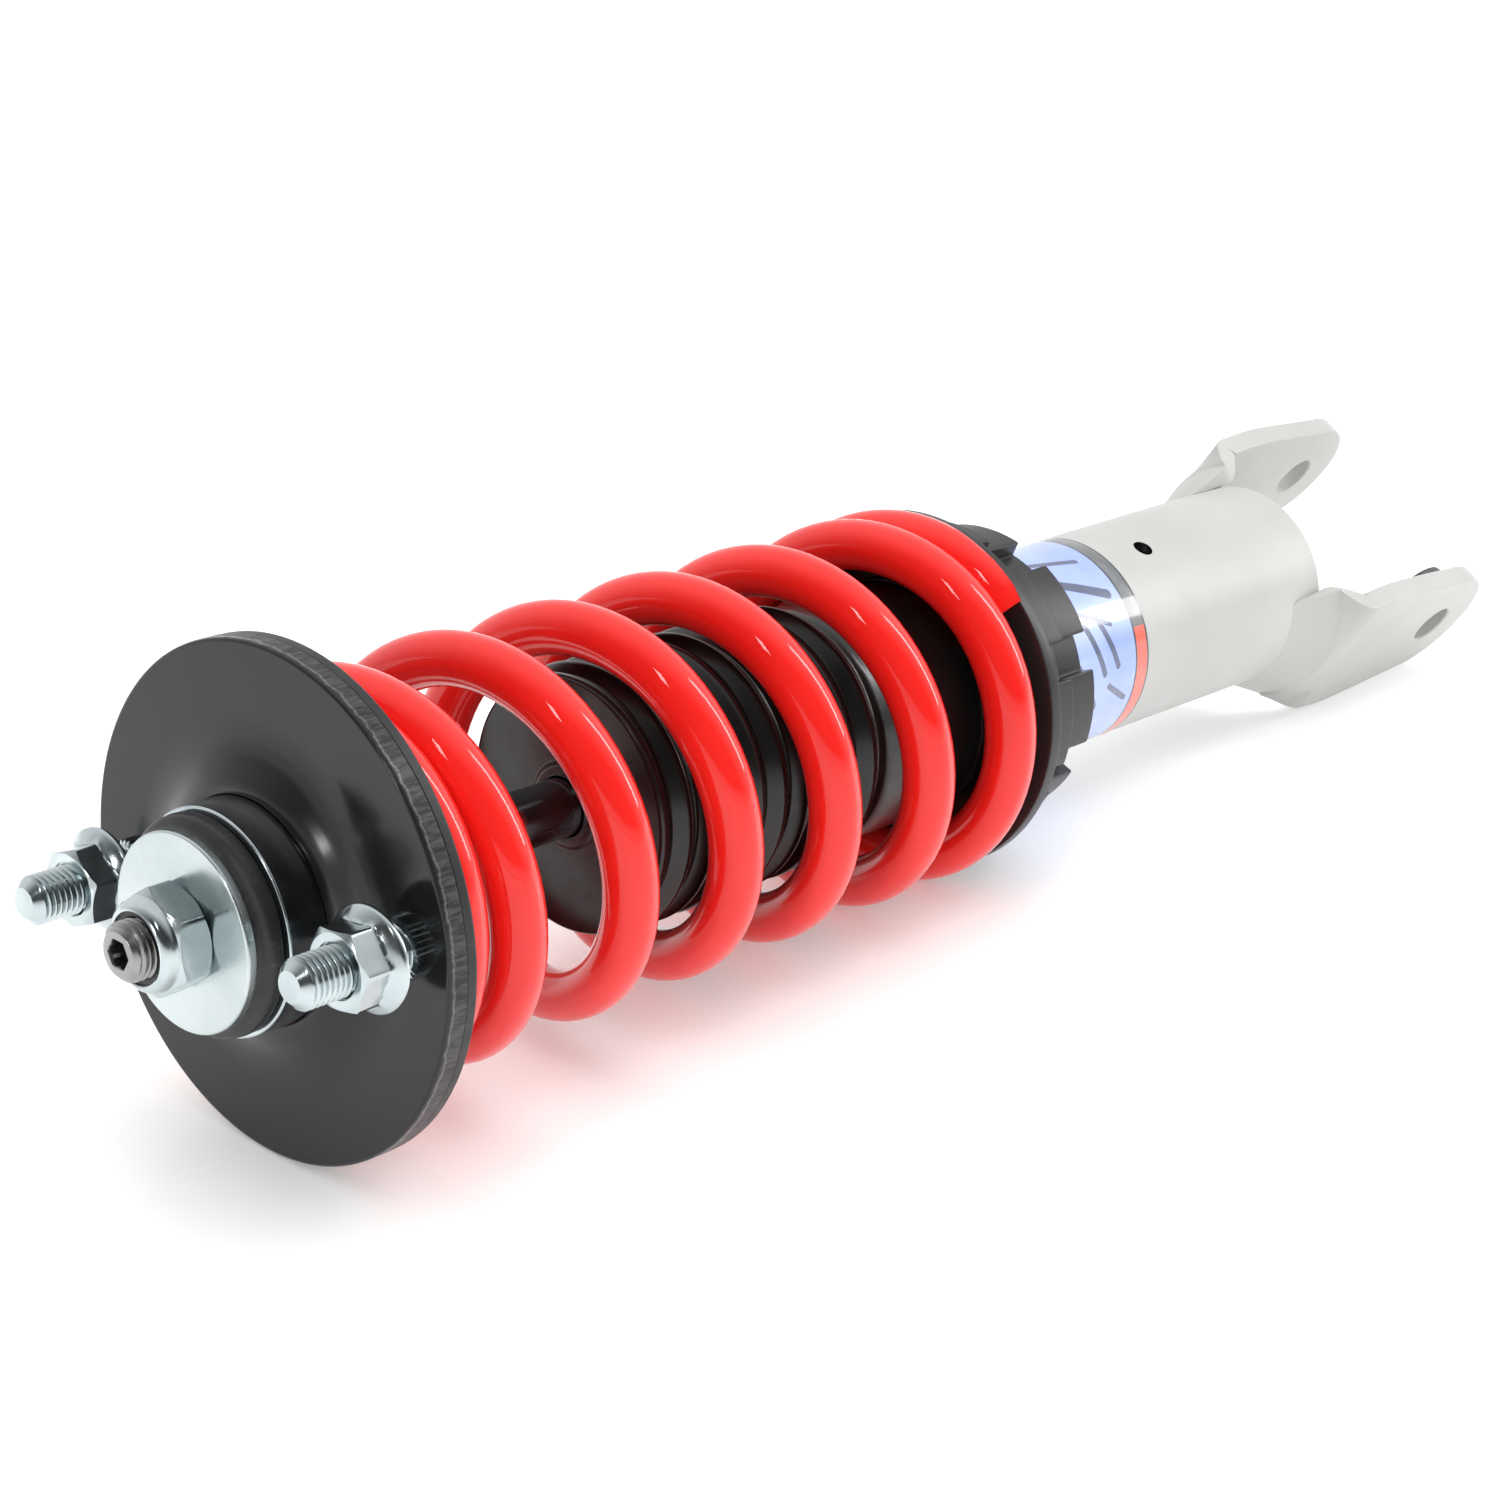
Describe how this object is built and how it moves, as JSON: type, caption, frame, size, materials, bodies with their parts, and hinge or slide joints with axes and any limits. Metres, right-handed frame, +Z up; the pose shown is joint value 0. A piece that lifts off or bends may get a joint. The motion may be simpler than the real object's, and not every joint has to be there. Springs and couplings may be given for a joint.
{
  "type": "coilover",
  "caption": "Suspension coilover: studded plate mount with rubber bush, coil spring over a dust-booted damper, threaded spring perch with lock ring, and a bolt fork.",
  "frame": {"origin": "centre of the upper mount plate's front face, on the damper's axis", "axes": "+X along the damper's axis from the upper mount to the fork; +Z is up as the part is drawn; the upper mount's studs point to -X"},
  "size_m": [0.4184, 0.1038, 0.1038],
  "materials": {
    "black_paint": "semi-gloss black powder coat",
    "zinc": "bright zinc plate",
    "rubber": "black rubber",
    "nylon": "white nylon",
    "rod_steel": "hard-chromed, ground",
    "machined_steel": "plain turned steel",
    "machined_aluminium": "turned",
    "red_paint": "gloss red powder coat",
    "black_anodised": "satin black anodised",
    "silver_paint": "satin pale silver paint",
    "blue_film": "gloss printed film",
    "foam": "cellular polyurethane"
  },
  "bodies": {
    "mount": {"upper_mount_plate": "black_paint", "mount_insulator": "rubber", "bush_outer_sleeve": "zinc", "upper_rubber_bush": "rubber", "lower_rubber_bush": "rubber", "bush_inner_sleeve": "zinc", "top_washer": "zinc", "lower_washer": "zinc", "rod_lock_nut": "zinc", "nut_nylon_insert": "nylon", "mount_stud_left": "zinc", "mount_stud_right": "zinc", "stud_nut_left": "zinc", "stud_nut_right": "zinc", "piston_rod": "rod_steel", "piston": "machined_steel", "piston_band": "nylon", "piston_nut": "zinc"},
    "spring_top": {"spring_slip_washer": "nylon"},
    "spring_seat": {"coil_spring": "red_paint", "dust_boot": "rubber", "bump_stop": "foam"},
    "adjuster": {"spring_perch": "black_anodised"},
    "lock": {"lock_ring": "black_anodised"},
    "damper": {"damper_body": "silver_paint", "gland_nut": "black_anodised", "rod_guide": "machined_steel", "rod_seal": "rubber", "body_label": "blue_film", "floating_piston": "machined_aluminium", "floating_piston_oring": "rubber", "lower_end_cap": "silver_paint", "fork_ear_left": "silver_paint", "fork_ear_right": "silver_paint", "fork_weld_nut": "machined_steel"}
  },
  "joints": [
    {"name": "mount_swivel", "type": "hinge", "parent": "mount", "child": "spring_top", "pos_m": [0, 0, 0], "axis": [1, 0, 0], "continuous": true},
    {"name": "damper_stroke", "type": "slide", "parent": "spring_top", "child": "spring_seat", "axis": [-1, 0, 0], "range_m": [0, 0.07], "stiffness_N_per_m": 78500, "deforming": ["coil_spring"]},
    {"name": "adjuster_spin", "type": "hinge", "parent": "spring_seat", "child": "adjuster", "pos_m": [0.19, 0, 0], "axis": [-1, 0, 0], "range_deg": [0, 3600]},
    {"name": "lock_ring_turn", "type": "hinge", "parent": "adjuster", "child": "lock", "pos_m": [0.206, 0, 0], "axis": [1, 0, 0], "range_deg": [0, 90]},
    {"name": "height_adjust", "type": "slide", "parent": "spring_seat", "child": "damper", "axis": [1, 0, 0], "range_m": [0, 0.02]}
  ],
  "couplings": [
    {"joint": "adjuster_spin", "follows": "height_adjust", "rad_per_m": 3141.5}
  ]
}
